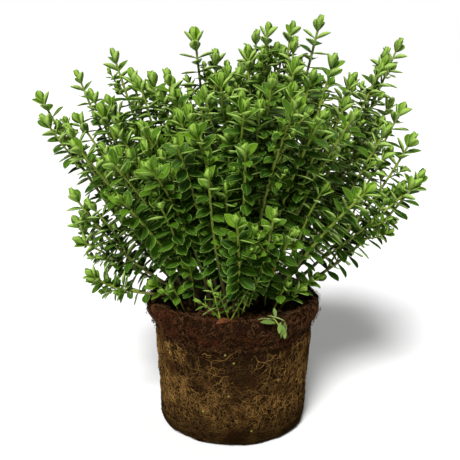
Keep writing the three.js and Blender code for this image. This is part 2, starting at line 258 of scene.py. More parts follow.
class Finish:
    """A node material with only its Principled shader, and short ways to add nodes to it and join them."""

    def __init__(self, name):
        self.material = bpy.data.materials.new(name)
        self.material.use_nodes = True
        self.tree = self.material.node_tree
        self.shader = self.tree.nodes["Principled BSDF"]
        self.places = self.node("ShaderNodeTexCoord").outputs["Object"]

    def node(self, kind, **inputs):
        made = self.tree.nodes.new(kind)
        for key, value in inputs.items():
            self.fill(made.inputs[key.replace("_", " ")], value)
        return made

    def fill(self, socket, value):
        """Joins a socket to another, or gives it a number or a colour."""
        if isinstance(value, bpy.types.NodeSocket):
            self.tree.links.new(value, socket)
        else:
            socket.default_value = (*value, 1) if isinstance(value, tuple) else value

    def noise(self, scale, detail, roughness=0.5):
        """Cloudy noise from 0 to 1 over the piece, with that many cells to a metre."""
        made = self.node("ShaderNodeTexNoise", Vector=self.places, Scale=scale, Detail=detail)
        made.inputs["Roughness"].default_value = roughness
        return made.outputs["Fac"]

    def read(self, attribute):
        """A number stored in the piece's mesh."""
        reader = self.node("ShaderNodeAttribute")
        reader.attribute_name = attribute
        return reader.outputs["Fac"]

    def mixed(self, share, first, second):
        """The colour first where share is 0 and second where it is 1. Both are colours or sockets."""
        mix = self.node("ShaderNodeMix")
        mix.data_type = "RGBA"
        for place, value in ((0, share), (6, first), (7, second)):
            self.fill(mix.inputs[place], value)
        return mix.outputs[2]

    def remapped(self, value, low, high, out_low=0.0, out_high=1.0):
        """Value carried from the range low to high onto out_low to out_high, and held there."""
        ranged = self.node("ShaderNodeMapRange", Value=value, From_Min=low, From_Max=high)
        self.fill(ranged.inputs["To Min"], out_low)
        self.fill(ranged.inputs["To Max"], out_high)
        return ranged.outputs["Result"]

    def surface(self, colour, roughness, specular=None):
        """Gives the shader its colour, its roughness and, if it isn't the usual one, its specular level."""
        self.fill(self.shader.inputs["Base Color"], colour)
        self.fill(self.shader.inputs["Roughness"], roughness)
        if specular is not None:
            self.fill(self.shader.inputs["Specular IOR Level"], specular)

    def bumped(self, height, strength, depth):
        """Raises the surface by that depth where height is 1."""
        bump = self.node("ShaderNodeBump", Strength=strength, Distance=depth, Height=height)
        self.fill(self.shader.inputs["Normal"], bump.outputs["Normal"])


foot_darkest_height = 9 * mm
foot_dark_top = 36 * mm
peat = Finish("moist_peat")
broad = peat.noise(38.0, 4.0, 0.6)
grain = peat.noise(900.0, 4.0, 0.7)
swirl = peat.node("ShaderNodeTexNoise", Vector=peat.places, Scale=90.0, Detail=3.0)
shifted = peat.node("ShaderNodeVectorMath")
shifted.operation = "ADD"
peat.fill(shifted.inputs[0], peat.places)
peat.fill(shifted.inputs[1], swirl.outputs["Color"])


def web_of_roots(scale):
    """Distance from the edges of cells of that many to a metre, which wander with the swirl."""
    web = peat.node("ShaderNodeTexVoronoi", Vector=shifted.outputs[0], Scale=scale)
    web.feature = "DISTANCE_TO_EDGE"
    return web.outputs["Distance"]


web, fine_web = web_of_roots(210.0), web_of_roots(480.0)
dark = peat.mixed(grain, (0.002, 0.001, 0.0005), (0.020, 0.010, 0.004))
brown = peat.mixed(peat.remapped(broad, 0.42, 0.66), dark, (0.020, 0.010, 0.003))
matted = peat.mixed(peat.remapped(fine_web, 0.06, 0.0), brown, (0.030, 0.015, 0.005))
matted = peat.mixed(peat.remapped(web, 0.03, 0.0), matted, (0.050, 0.026, 0.008))
height = peat.node("ShaderNodeSeparateXYZ", Vector=peat.places).outputs["Z"]
# Darker towards the foot of the ball: eight tenths of the way to the dark colour 9 mm up, none from 36 mm.
darker_low = peat.remapped(height, foot_darkest_height, foot_dark_top, 0.8, 0.0)
collar_foot = ball_height - collar_height
# Painted shade below the collar's overhang: over the 30 mm under its foot the wall darkens to the dark
# colour, and from there up, the collar and the soil take the rusty colour of their redder fibre.
painted_shade_and_tint = peat.remapped(height, collar_foot - 30 * mm, collar_foot, 0.0, 0.85)
wall = peat.mixed(painted_shade_and_tint, peat.mixed(darker_low, matted, dark), dark)
rust = peat.mixed(peat.remapped(web, 0.05, 0.0), dark, (0.050, 0.017, 0.007))
peat.surface(peat.mixed(painted_shade_and_tint, wall, rust), 0.95, 0.02)
peat.bumped(grain, 0.9, 0.0014)

# The skin is a tube of rings up the outline, closed at the middle of the foot and of the soil.
turns, rows = 420, 190
skin_along = np.linspace(0, outline_length[-1], rows + 2)[1:-1, None]
skin = skin_point(np.arange(turns)[None, :] / turns, skin_along)
skin_points = np.concatenate([skin.reshape(-1, 3), [[0, 0, 0], [0, 0, soil_level]]])
compost = mesh_object("compost", skin_points, *ring_faces(rows, turns), peat.material, "compost")
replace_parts(compost, "root_ball")

# ------------------------------------------------------------
# The mat of fine roots over the ball: golden-brown threads under a millimetre thick that ran down and
# round the inside of the pot until they covered the compost, with redder fibre round the rim. Each
# thread is a thin tube laid on the skin, half sunk in it.
# ------------------------------------------------------------

foot_along = outline_length[5]
thread_steps, thread_sides = 12, 3
tangle_turn = 0.045
tangle_reach = 16 * mm


def unit(vectors):
    """Vectors shortened or lengthened to 1."""
    return vectors / (np.linalg.norm(vectors, axis=-1, keepdims=True) + 1e-12)


def threads_over(seed, count, length, thickness, heading, spread, wander, low, high, lift, tangles=None):
    """Threads as tubes on the skin. Each starts at a random turn and height, or about one of the tangles,
    sets off at a heading from straight down, and turns by a smooth random curve: its heading is a sum of
    three sine waves along its length. Its places on the unrolled skin are the running sums of the
    heading's sine and cosine, folded back at low and high. It hops over the others by up to 1.2 times
    lift, and is thin at both ends. Each tube is three-sided, with a ridge on top and closed ends."""
    chance = np.random.default_rng(seed)

    def each(least, most):
        return chance.uniform(least, most, (count, 1))

    reach = length * each(0.45, 1.3)
    share = np.linspace(0, 1, thread_steps)[None, :]
    waves = 0
    for k in (1, 2, 4):
        cycles = k * share * each(0.4, 1.2) + each(0, 1)
        waves = waves + wander / k * np.sin(2 * np.pi * cycles)
    course = heading + spread * chance.normal(0, 1, (count, 1)) + waves
    step = reach / thread_steps
    start_turn = each(0, 1)
    if tangles is not None:
        chosen = chance.integers(0, len(tangles), (count, 1))
        start_turn = tangles[chosen, 0] + chance.normal(0, tangle_turn, (count, 1))
    start_along = each(low, high)
    if tangles is not None:
        start_along = tangles[chosen, 1] + chance.normal(0, tangle_reach, (count, 1))
    along = start_along + np.cumsum(-np.cos(course) * step, 1)
    span = high - low
    along = low + span - np.abs((along - low) % (2 * span) - span)
    around_ball = 2 * np.pi * np.maximum(on_outline(along)[0], 10 * mm)
    turn = start_turn + np.cumsum(np.sin(course) * step / around_ball, 1)
    hops = share * each(1, 3) + each(0, 1)
    height = lift * (0.3 + 0.9 * np.abs(np.sin(2 * np.pi * hops)))
    middle = skin_point(turn % 1, along, height)
    ahead = unit(np.gradient(middle, axis=1))
    axis_out = unit(middle * np.array([1, 1, 0]))
    beside = unit(np.cross(ahead, axis_out))
    above = np.cross(beside, ahead)
    thick = thickness * each(0.55, 1.25) * (1 - 0.75 * share**3) * np.minimum(1, 0.35 + 6 * share)
    corner = np.pi / 2 + 2 * np.pi * np.arange(thread_sides) / thread_sides
    ring = (
        middle[:, :, None, :]
        + thick[:, :, None, None] * np.cos(corner)[None, None, :, None] * beside[:, :, None, :]
        + thick[:, :, None, None] * np.sin(corner)[None, None, :, None] * above[:, :, None, :]
    )
    ring[..., 2] = np.maximum(ring[..., 2], 0.0)
    size = thread_steps * thread_sides
    base = (np.arange(count) * size)[:, None, None]
    tubes = base + ring_faces(thread_steps, thread_sides)[0]
    k = np.arange(thread_sides)
    caps = np.concatenate([base[:, 0] + k[::-1], base[:, 0] + size - thread_sides + k])
    tone = np.repeat(chance.uniform(0, 1, count), size)
    return ring, tubes, caps, tone


def root_finish(name, deep, pale, red, roughness=0.85):
    """Dull bark-coloured thread: each one has its own tone from deep to pale, and reddens in patches.
    Near the foot of the ball all of them are darkened towards the deep colour."""
    made = Finish(name)
    tone = made.read("tone")
    patch = made.noise(45.0, 3.0)
    fleck = made.noise(700.0, 2.0)
    colour = made.mixed(made.remapped(tone, 0.15, 1.05), deep, pale)
    colour = made.mixed(made.remapped(patch, 0.5, 0.68), colour, red)
    colour = made.mixed(made.remapped(fleck, 0.35, 0.7, 0.5, 0.0), colour, deep)
    height = made.node("ShaderNodeSeparateXYZ", Vector=made.places).outputs["Z"]
    # Darker towards the foot of the ball, like the compost.
    colour = made.mixed(made.remapped(height, foot_darkest_height, foot_dark_top, 0.85, 0.0), colour, deep)
    made.surface(colour, roughness, 0.03)
    return made.material


gold = root_finish("root_gold", (0.012, 0.005, 0.001), (0.52, 0.285, 0.080), (0.080, 0.036, 0.010))
umber = root_finish("root_umber", (0.008, 0.004, 0.001), (0.19, 0.100, 0.032), (0.06, 0.027, 0.008))
rusty = root_finish("root_red", (0.008, 0.003, 0.001), (0.24, 0.110, 0.044), (0.13, 0.034, 0.014))

# The thickest tangles, as turns round the ball and distances up its outline.
gold_tangles = np.array(
    [
        (0.50, 0.105), (0.46, 0.120), (0.42, 0.100), (0.55, 0.098), (0.33, 0.150), (0.36, 0.120),
        (0.66, 0.150), (0.63, 0.110), (0.02, 0.120), (0.85, 0.140), (0.17, 0.120),
    ]
)
# The mats. Length, thickness, the low and high ends up the outline from the foot, and lift are in
# millimetres. Heading, spread and wander are in radians.
mat_columns = ("seed", "count", "length", "thickness", "heading", "spread", "wander", "low", "high", "lift")
in_millimetres = ("length", "thickness", "low", "high", "lift")
mats = {
    "roots_down": (gold, 11, 700, 44, 0.25, 0.15, 0.5, 0.9, -4, 100, 0.7),
    "roots_across": (gold, 12, 750, 34, 0.23, 1.5, 0.8, 1.5, -4, 98, 0.7),
    "roots_gold": (gold, 13, 1500, 30, 0.25, 0.4, 1.2, 1.6, 0, 92, 1.3),
    "roots_foot": (gold, 14, 260, 70, 0.45, 1.55, 0.12, 0.25, -20, 10, 0.7),
    "roots_fine": (umber, 11, 2000, 17, 0.18, 1.0, 1.5, 1.9, 44, 116, 0.9),
    "roots_low": (umber, 12, 1100, 17, 0.19, 1.0, 1.5, 1.9, -6, 40, 0.8),
    "roots_rim": (rusty, 11, 1900, 18, 0.27, 1.5, 0.8, 1.7, 94, 136, 0.9),
    "roots_soil": (rusty, 12, 1700, 16, 0.27, 1.2, 1.2, 1.7, 128, 196, 1.8),
    "roots_loose": (rusty, 13, 420, 11, 0.19, 0.8, 1.4, 1.2, 96, 140, 3.2),
}
for name, (material, *row) in mats.items():
    sizes = dict(zip(mat_columns, row))
    for column in in_millimetres:
        sizes[column] *= mm
    sizes["low"] += foot_along
    sizes["high"] += foot_along
    tangles = gold_tangles if name == "roots_gold" else None
    points, quads, caps, tone = threads_over(**sizes, tangles=tangles)
    mesh_object(name, points, quads, caps, material, "compost", tone=tone)

# ------------------------------------------------------------
# What lies loose on and in the compost: crumbs of peat and bark on the soil, and the round yellow-green
# grains of slow-release fertiliser that show through the roots.
# ------------------------------------------------------------

ball_sides, ball_rings = 6, 4
ball_points = ball_sides * ball_rings + 2


def pebbles(centres, radii, stretch, chance, roughness):
    """Closed rounded grains: points of a unit sphere on a grid, each pushed in or out at random by
    roughness, stretched along three random axes, and set at the centres."""
    polar = np.pi * (np.arange(ball_rings) + 1) / (ball_rings + 1)
    azimuth = 2 * np.pi * np.arange(ball_sides) / ball_sides
    x = np.outer(np.sin(polar), np.cos(azimuth)).ravel()
    y = np.outer(np.sin(polar), np.sin(azimuth)).ravel()
    z = np.repeat(np.cos(polar), ball_sides)
    sphere = np.concatenate([np.stack([x, y, z], 1), [[0, 0, 1], [0, 0, -1]]])
    count = len(centres)
    bumpy = sphere[None] * (1 + roughness * chance.uniform(-1, 1, (count, len(sphere), 1)))
    axes = np.linalg.qr(chance.normal(0, 1, (count, 3, 3)))[0]
    axes *= np.sign(np.linalg.det(axes))[:, None, None]
    sized = bumpy * (np.asarray(radii)[:, None, None] * stretch[:, None, :])
    placed = np.einsum("nij,nkj->nki", axes, sized) + np.asarray(centres)[:, None, :]
    quads, caps = ring_faces(ball_rings, ball_sides)
    quads, caps = turned_out(quads), caps[:, [0, 2, 1]]
    base = np.arange(count)[:, None, None] * len(sphere)
    return placed, base + quads, base + caps


chance = np.random.default_rng(31)
crumb_count = 1500
crumb_turn = chance.uniform(0, 1, crumb_count)
crumb_out = np.sqrt(chance.uniform(0, 1, crumb_count)) * (collar_radius - 3 * mm)
crumb_along = outline_length[-1] - crumb_out
crumb_size = chance.gamma(2.2, 0.45, crumb_count).clip(0.4, 3.0) * mm
points, quads, triangles = pebbles(
    skin_point(crumb_turn, crumb_along, crumb_size * 0.35),
    crumb_size,
    chance.uniform(0.5, 1.2, (crumb_count, 3)),
    chance,
    0.18,
)
crumb_brown = root_finish("bark_crumb", (0.016, 0.010, 0.006), (0.11, 0.058, 0.028), (0.075, 0.032, 0.016))
tone = np.repeat(chance.uniform(0, 1, crumb_count), ball_points)
mesh_object("soil_crumbs", points, quads, triangles, crumb_brown, "compost", smooth=False, tone=tone)

# The grains that show in front, as turns round the ball and heights in millimetres, and others all round.
front_grains = np.array([(0.485, 92), (0.501, 84), (0.491, 49), (0.594, 60), (0.537, 12), (0.438, 31)])
grain_count = 24
others = grain_count - len(front_grains)
grain_turn = np.concatenate([front_grains[:, 0], chance.uniform(-0.3, 0.3, others) % 1])
grain_along = foot_along + np.concatenate([front_grains[:, 1], chance.uniform(4, 92, others)]) * mm
grain_size = chance.uniform(0.9, 1.3, grain_count) * mm
points, quads, triangles = pebbles(
    skin_point(grain_turn, grain_along, 0.6 * mm), grain_size, np.ones((grain_count, 3)), chance, 0.02
)
grain_deep, grain_pale, grain_ripe = (0.20, 0.20, 0.045), (0.40, 0.42, 0.12), (0.26, 0.22, 0.07)
grain_yellow = root_finish("fertiliser_yellow", grain_deep, grain_pale, grain_ripe, 0.45)
tone = np.repeat(chance.uniform(0, 1, grain_count), ball_points)
mesh_object("fertiliser_grains", points, quads, triangles, grain_yellow, "compost", tone=tone)

# ------------------------------------------------------------
# The stems. Each springs from the compost, woody and olive-brown at its foot, and bows outwards and up,
# turning yellow-green, a little swollen where each pair of leaves joins it. Each is a tube along the
# curve that its solid in the frame follows.
# ------------------------------------------------------------

shrub_reach = 190 * mm
shrub_height = 272 * mm
sway_reach = 5 * mm
neck_height = 8 * mm
planting_depth = 7 * mm
bud_length = 13 * mm
pair_spacing = 6.5 * mm
leafy_share = 0.83
stem_foot_radius = 2.2 * mm
stem_tip_radius = 1.1 * mm
stem_per_branch = 70 * mm
lowest_branch = 0.24
branch_step = 0.2
branch_share = 0.8
branch_spread = 0.25
elbow_reach = 0.3
elbow_spread = 0.8
underside_dip = 0.1
branch_thickness = 0.75
branch_numbers = 7
tip_match = 0.5 * mm
stem_sides = 6
ring_spacing = 3 * mm
thick_foot = 12 * mm
node_swelling = 1.1 * mm
branch_age = 0.45
# The end of each shoot: right, back and up in percent of the shrub's reach and height, and its bow, too.
planting = {
    "left": [
        (-98, 5, 75, 10), (-81, 18, 82, 8), (-81, -9, 64, 8), (-72, -40, 61, -4),
        (-67, 2, 70, 4), (-61, 11, 89, 4), (-55, -26, 64, -8), (-42, -34, 66, -10),
        (-55, -50, 57, -10), (-37, -58, 56, -13), (-50, -57, 46, -8), (-81, -7, 41, 14),
        (-84, 12, 28, 18), (-71, -20, 14, 30),
    ],
    "top": [
        (-41, 2, 81, 0), (-32, -9, 82, -2), (-20, 21, 96, 2), (-25, -57, 63, -14),
        (-17, -52, 66, -12), (-6, -37, 81, -8), (-9, 33, 89, 3), (13, 37, 96, 3),
        (17, 5, 98, 2), (31, 24, 99, 3), (43, 5, 100, 2), (5, -50, 73, -12),
        (17, -43, 81, -8), (27, -57, 75, -10),
    ],
    "right": [
        (36, -31, 82, -6), (50, 0, 87, 2), (61, 13, 80, 4), (39, -48, 70, -12),
        (56, -32, 70, -8), (89, 32, 93, 6), (89, 45, 71, 8), (89, 18, 70, 8),
        (92, 4, 60, 12), (94, -9, 48, 14), (64, -38, 47, -6),
    ],
    "front": [
        (-11, -55, 54, 4), (5, -55, 61, -12), (1, -62, 41, 10), (18, -56, 42, 10),
    ],
    "back": [
        (-68, 47, 64, 2), (-48, 67, 58, -6), (-34, 52, 78, -6), (-12, 74, 66, -10),
        (6, 60, 84, -6), (26, 76, 62, -10), (40, 55, 80, -6), (60, 64, 66, -2),
        (-62, 66, 32, 12), (-18, 86, 38, 10), (30, 88, 34, 12), (72, 62, 36, 12),
    ],
}


def vary(a, b):
    """A repeatable number from -1 to 1 for the pair (a, b)."""
    wave = np.sin(12.9898 * a + 78.233 * b) * 43758.5453
    return 2 * (wave - np.floor(wave)) - 1


class Stem:
    """The path of a stem, a branch or a sprig: a quadratic curve from its neck by a turning point to its
    tip, bent in the plane across side, with a little sway to that side that is nothing at either end.
    Grain is the size of what grows on it, as a share of a full shoot's."""

    def __init__(self, number, neck, turn, tip, side, sway=0.0, grain=1.0):
        self.number, self.grain = number, grain
        self.neck, self.turn, self.tip, self.side = neck, turn, tip, side
        self.length = np.linalg.norm(turn - neck) + np.linalg.norm(tip - turn)
        self.sway = sway * vary(number, 1)
        self.phase = 2.4 * number
        self.vigour = 1 + 0.1 * vary(number, 2)
        self.bud = bud_length * grain
        self.spacing = pair_spacing * grain
        self.pairs = int((self.length * leafy_share - self.bud) / self.spacing)
        thickening = (stem_foot_radius - stem_tip_radius) * min(1, self.length / shrub_height)
        self.foot_radius = stem_tip_radius * grain + thickening
        self.planted = sway > 0

    def frame(self, t):
        """Centre, direction along, two directions across and radius, at each t from 0 to 1."""
        t = np.atleast_1d(np.asarray(t, float))[:, None]
        centre = (1 - t) ** 2 * self.neck + 2 * t * (1 - t) * self.turn + t**2 * self.tip
        centre = centre + self.side * self.sway * np.sin(np.pi * t)
        along = 2 * (1 - t) * (self.turn - self.neck) + 2 * t * (self.tip - self.turn)
        along = unit(along + self.side * self.sway * np.pi * np.cos(np.pi * t))
        outwards = unit(np.cross(np.broadcast_to(self.side, along.shape), along))
        sideways = np.cross(along, outwards)
        radius = self.foot_radius + (stem_tip_radius * self.grain - self.foot_radius) * t[:, 0]
        return centre, along, outwards, sideways, radius

    def axil(self, pair, face):
        """Where a pair's leaf grows on a face: place, centre, direction along, the way out and radius."""
        place = 1 - (self.bud + pair * self.spacing) / self.length
        centre, along, first, second, radius = (value[0] for value in self.frame(place))
        angle = self.phase + face * np.pi / 2
        return place, centre, along, first * math.cos(angle) + second * math.sin(angle), radius


def shoot_stem(number, end):
    """The stem of a shoot: it leans the way its tip lies, and low shoots spring from nearer the collar."""
    right, back, up, bow = end
    tip = np.array([shrub_reach * right, shrub_reach * back, shrub_height * up]) / 100 + [0, 0, soil_level]
    lean = unit(tip * np.array([1, 1, 0]))
    spread = soil_radius * math.hypot(right, back) / 100 * (0.6 + 0.5 * (1 - up / 100))
    neck = lean * spread + np.array([0, 0, soil_level + neck_height])
    turn = neck + (tip - neck) * np.array([0.5 + bow / 100, 0.5 + bow / 100, 0.5 - bow / 100])
    return Stem(number, neck, turn, tip, np.array([-lean[1], lean[0], 0]), sway=sway_reach)


def side_stem(number, centre, along, radial, reach, spread, foot_radius, grain=1.0):
    """A stem that springs from an axil and soon runs beside its own: reach long, off by spread of that."""
    turn = centre + along * elbow_reach * reach + radial * elbow_spread * spread * reach
    tip = centre + along * reach + radial * spread * reach
    grown = Stem(number, centre, turn, tip, unit(np.cross(along, radial)), grain=grain)
    grown.foot_radius = foot_radius
    return grown


def branch_stems(name, stem):
    """The branches of a stem that the frame has too: its own shoot has a corner at each one's tip."""
    corners = np.array([v.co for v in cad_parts[name].data.vertices])
    branches = []
    for k in range(int(stem.length / stem_per_branch)):
        aim = lowest_branch + branch_step * k
        pair = math.floor((stem.length * (1 - aim) - bud_length) / pair_spacing + 0.5)
        place, centre, along, radial, radius = stem.axil(pair, pair % 2 + 2 * ((stem.number + k) % 2))
        if radial[2] < -underside_dip:
            radial = -radial
        reach = branch_share * (1 - place) * stem.length
        number = stem.number + (k + 1) / branch_numbers
        foot_radius = branch_thickness * radius
        branch = side_stem(number, centre, along, radial, reach, branch_spread, foot_radius)
        if np.linalg.norm(corners - branch.tip, axis=1).min() < tip_match:
            branches.append(branch)
    return branches


def tube(centre, first, second, radius, sides):
    """A closed tube: rings of that many sides about the centre points, their corners at centre + radius times
    (cosine of the angle times first + sine times second)."""
    angle = 2 * np.pi * np.arange(sides) / sides
    rings = centre[:, None] + radius[:, None, None] * (
        np.cos(angle)[None, :, None] * first[:, None] + np.sin(angle)[None, :, None] * second[:, None]
    )
    points = np.concatenate([rings.reshape(-1, 3), centre[:1], centre[-1:]])
    return points, *ring_faces(len(centre), sides)


bark = Finish("stem_bark")
streak = bark.noise(260.0, 4.0, 0.65)
green = bark.mixed(streak, (0.12, 0.18, 0.010), (0.24, 0.31, 0.022))
woody = bark.mixed(streak, (0.045, 0.028, 0.012), (0.13, 0.085, 0.036))
bark.surface(bark.mixed(bark.remapped(bark.read("age"), 0.45, 0.95), green, woody), 0.55)
bark.bumped(streak, 0.35, 0.0004)


def stem_surface(stem):
    """The stem's tube, swollen by a fifth of its radius about each pair of leaves. A planted stem goes
    straight down into the compost, thickens to its foot, and rounds the corner at its neck by a quadratic
    curve."""
    corner_reach = 10 * mm if stem.planted else 0
    below = neck_height + planting_depth if stem.planted else 0
    tip_gap = ring_spacing * stem.grain
    far = np.linspace(-below, stem.length - tip_gap, int((stem.length + below) / ring_spacing) + 2)
    centre, _, _, _, radius = stem.frame(np.clip(far, 0, None) / stem.length)
    up = np.array([0, 0, 1.0])
    if stem.planted:
        corner = (far > -corner_reach) & (far < corner_reach)
        w = ((far[corner] + corner_reach) / (2 * corner_reach))[:, None]
        coming = stem.neck - corner_reach * up
        leaving = stem.frame(corner_reach / stem.length)[0]
        centre += np.minimum(far, 0)[:, None] * up
        centre[corner] = (1 - w) ** 2 * coming + 2 * w * (1 - w) * stem.neck + w**2 * leaving
        radius = radius * (1 + 0.2 * np.exp(-np.clip(far + neck_height, 0, None) / thick_foot))
    from_bud = stem.length - far - stem.bud
    off_node = np.abs((from_bud / stem.spacing + 0.5) % 1 - 0.5) * stem.spacing
    radius = radius * (0.94 + 0.2 * np.exp(-((off_node / node_swelling) ** 2)))
    along = unit(np.gradient(centre, axis=0))
    first = unit(np.cross(stem.side, along))
    second = np.cross(along, first)
    points, quads, fans = tube(centre, first, second, radius, stem_sides)
    age = np.clip(1 - far / stem.length, 0, 1) * (1 if stem.planted else branch_age)
    return points, quads, fans, np.concatenate([np.repeat(age, stem_sides), age[[0, -1]]])


# ------------------------------------------------------------
# The leaves. Small, leathery and blunt, in opposite pairs, each pair square to the next, a little cupped,
# with a pale margin. The youngest stand up round the bud, yellow-green, and the older ones spread almost
# level. Each leaf is a closed blade, thin at its margins and half a millimetre thick along its midrib.
# ------------------------------------------------------------

leaf_length = 17 * mm
leaf_width = 10 * mm
blade_thickness = 0.5 * mm
stations = np.array([0.0, 0.13, 0.34, 0.58, 0.81, 0.95])
margin_share = 0.88
bud_pairs = 4
oldest_pair = 30
sprig_share = 0.13
sprig_from_pair = 3
sprig_reach_range = (12, 28)
sprig_grain_range = (0.5, 0.72)
sprig_spread = 0.5
sprig_foot_radius = 0.8 * mm
sprig_bud_pairs = 2


def blade_template():
    """One leaf's points as (share of length, share of half width, top or underside): rings of six from
    the base up, which are margin, inner, midrib, inner and margin on top and midrib beneath, and last the
    tip. With them its faces, for each point whether it is on the margin or the midrib, and which faces
    are beneath."""
    across = np.array([-1, -margin_share, 0, margin_share, 1, 0])
    under = np.array([0, 0, 0, 0, 0, 1])
    count = len(stations)
    points = np.stack([np.repeat(stations, 6), np.tile(across, count), np.tile(under, count)], 1)
    points = np.concatenate([points, [[1, 0, 0]]])
    k = np.arange(6)
    k1 = (k + 1) % 6
    walls = turned_out(ring_faces(count, 6)[0])
    quads = np.concatenate([walls, [[0, 1, 2, 5], [5, 2, 3, 4]]])
    last = (count - 1) * 6
    tips = np.stack([last + k, np.full(6, count * 6), last + k1], 1)
    edge = np.append(np.tile((np.abs(across) == 1).astype(float), count), 1.0)
    rib = np.append(np.tile(((across == 0) & (under == 0)).astype(float), count), 1.0)
    below = np.isin(k, [4, 5])
    return points, quads, tips, edge, rib, np.tile(below, count - 1), below


blade_points, blade_quads, blade_tips, blade_edge, blade_rib, wall_below, tip_below = blade_template()


def blades(origin, out, across, normal, length, width, cup, bend):
    """Leaves as closed blades. At a share u of its length a blade's half width is sin(pi u^1.1)^0.8 of
    the whole, and a short stalk besides. It rises from midrib to margins by cup, and its length curls
    down by bend times u squared."""
    u, v, under = blade_points.T
    shape = np.sin(np.pi * u**1.1).clip(0) ** 0.8 + 0.12 * (1 - u) ** 3
    half = width[:, None] / 2 * shape * v
    rise = cup[:, None] * np.abs(half) - bend[:, None] * length[:, None] * u**2
    thick = blade_thickness * (0.4 + 0.6 * np.sin(np.pi * np.clip(u, 0.12, 0.9)))
    rise = rise - under * thick * np.clip(length[:, None] / leaf_length, 0.4, 1)
    run = length[:, None] * (u - 0.12 * np.abs(bend[:, None]) * u**2)
    return (
        origin[:, None]
        + out[:, None] * run[..., None]
        + across[:, None] * half[..., None]
        + normal[:, None] * rise[..., None]
    )


def rolled(across, normal, roll):
    """The two directions turned about the leaf's own length by roll, in radians."""
    cosine, sine = np.cos(roll)[:, None], np.sin(roll)[:, None]
    return across * cosine + normal * sine, normal * cosine - across * sine


def leaves_of(stem, first_pair=-bud_pairs, narrow=1.0):
    """A stem's leaves, and the age and tone of each. Pair i counts down from the bud. It stands up from
    level by 0.06 + 0.72 exp(-i / 1.7) radians and falls short of full size by 0.14 exp(-i / 1.6), and the
    older ones turn their faces up to the light. Pairs below nought are the folded leaves of the bud,
    which stand closer and closer round its tip. Each leaf differs a little in heading, lift, size, roll,
    cup and bend."""
    pairs = np.arange(first_pair, max(stem.pairs, 1))
    i = np.repeat(pairs.astype(float), 2)
    face = (np.repeat(pairs % 2, 2) + np.tile([0, 2], len(pairs))).astype(float)
    folded = np.clip(-i, 0, bud_pairs)
    spread = np.clip(i, 0, None)
    in_bud = stem.bud * 0.81 * np.exp(-0.27 * (folded - 1))
    from_tip = np.where(i < 0, in_bud, stem.bud + i * stem.spacing)
    centre, along, first, second, radius = stem.frame(1 - from_tip / stem.length)
    key = 100 * stem.number + 4 * i + face
    angle = stem.phase + face * np.pi / 2 + 0.14 * vary(key, 9)
    radial = first * np.cos(angle)[:, None] + second * np.sin(angle)[:, None]
    lift = 0.06 + 0.72 * np.exp(-spread / 1.7) + 0.14 * vary(key, 3)
    lift = np.where(i < 0, 1.16 + 0.09 * folded, lift)
    size = stem.vigour * (1 - 0.14 * np.exp(-spread / 1.6)) * (1 + 0.08 * vary(key, 4))
    size = stem.grain * np.where(i < 0, stem.vigour * (0.97 - 0.17 * folded), size)
    out = radial * np.cos(lift)[:, None] + along * np.sin(lift)[:, None]
    normal = along * np.cos(lift)[:, None] - radial * np.sin(lift)[:, None]
    normal = normal + np.array([0, 0, 0.9]) * np.clip(i / 3, 0, 1)[:, None]
    normal = unit(normal - out * np.sum(normal * out, axis=1, keepdims=True))
    across, normal = rolled(np.cross(normal, out), normal, 0.38 * vary(key, 5))
    origin = centre + radial * (radius * 0.7)[:, None]
    cup = np.where(i < 0, 0.85, 0.22 + 0.4 * np.exp(-spread / 2.2)) + 0.1 * vary(key, 6)
    bend = np.where(i < 0, -0.2, 0.03 - 0.15 * np.exp(-spread / 2)) + 0.06 * vary(key, 7)
    length, width = leaf_length * size, leaf_width * size * narrow
    points = blades(origin, out, across, normal, length, width, cup, bend)
    return points, np.clip((i + bud_pairs) / oldest_pair, 0, 1), 0.5 + 0.5 * vary(key, 8)


def sprigs(stem, chance):
    """Short side shoots in a share of a stem's leaf axils, at about 0.6 of the stem's grain."""
    grown = []
    for pair in range(sprig_from_pair, stem.pairs):
        for face in (pair % 2, pair % 2 + 2):
            reach = chance.uniform(*sprig_reach_range) * mm
            grain = chance.uniform(*sprig_grain_range)
            if chance.uniform() > sprig_share:
                continue
            _, centre, along, radial, _ = stem.axil(pair, face)
            number = stem.number + 0.01 * pair + 0.002 * face
            sizes = (reach, sprig_spread, sprig_foot_radius, grain)
            grown.append(side_stem(number, centre, along, radial, *sizes))
    return grown


def leaf_finish(name, young, full, margin, below):
    """Leathery blade: by age from young through full grown, and the older leaves, low inside the shrub,
    darken further towards the dark full colour as painted shade. Young and full are each a dark and a pale
    colour, between which a leaf takes its own tone. It is mottled, with a paler midrib, a pale margin and a
    duller underside."""
    made = Finish(name)
    age, tone = made.read("age"), made.read("tone")
    mottle = made.noise(420.0, 3.0, 0.6)
    fresh = made.mixed(tone, *young)
    grown = made.mixed(tone, *full)
    # Painted shade: from about the fifth pair below the bud downwards, the leaves that stand inside the shrub
    # darken by up to three quarters towards the dark full colour.
    painted_shade_and_tint = made.mixed(made.remapped(age, 0.3, 0.9, 0.0, 0.75), grown, full[0])
    top = made.mixed(made.remapped(age, 0.05, 0.23), fresh, painted_shade_and_tint)
    top = made.mixed(made.remapped(mottle, 0.4, 0.75, 0.0, 0.4), top, full[0])
    top = made.mixed(made.remapped(made.read("rib"), 0.84, 1.0, 0.0, 0.22), top, margin)
    under = made.mixed(made.remapped(age, 0.08, 0.25), fresh, below)
    blade = made.mixed(made.read("beneath"), top, under)
    rim = made.mixed(made.remapped(age, 0.04, 0.16, 0.25, 1.0), young[1], margin)
    made.surface(made.mixed(made.remapped(made.read("edge"), 0.0, 0.6, 0.0, 0.85), blade, rim), 0.5, 0.14)
    made.bumped(mottle, 0.3, 0.0004)
    return made.material


leaf_green = leaf_finish(
    "leaf_green",
    young=((0.075, 0.185, 0.006), (0.200, 0.370, 0.014)),
    full=((0.011, 0.043, 0.002), (0.060, 0.148, 0.007)),
    margin=(0.36, 0.52, 0.12),
    below=(0.060, 0.125, 0.024),
)


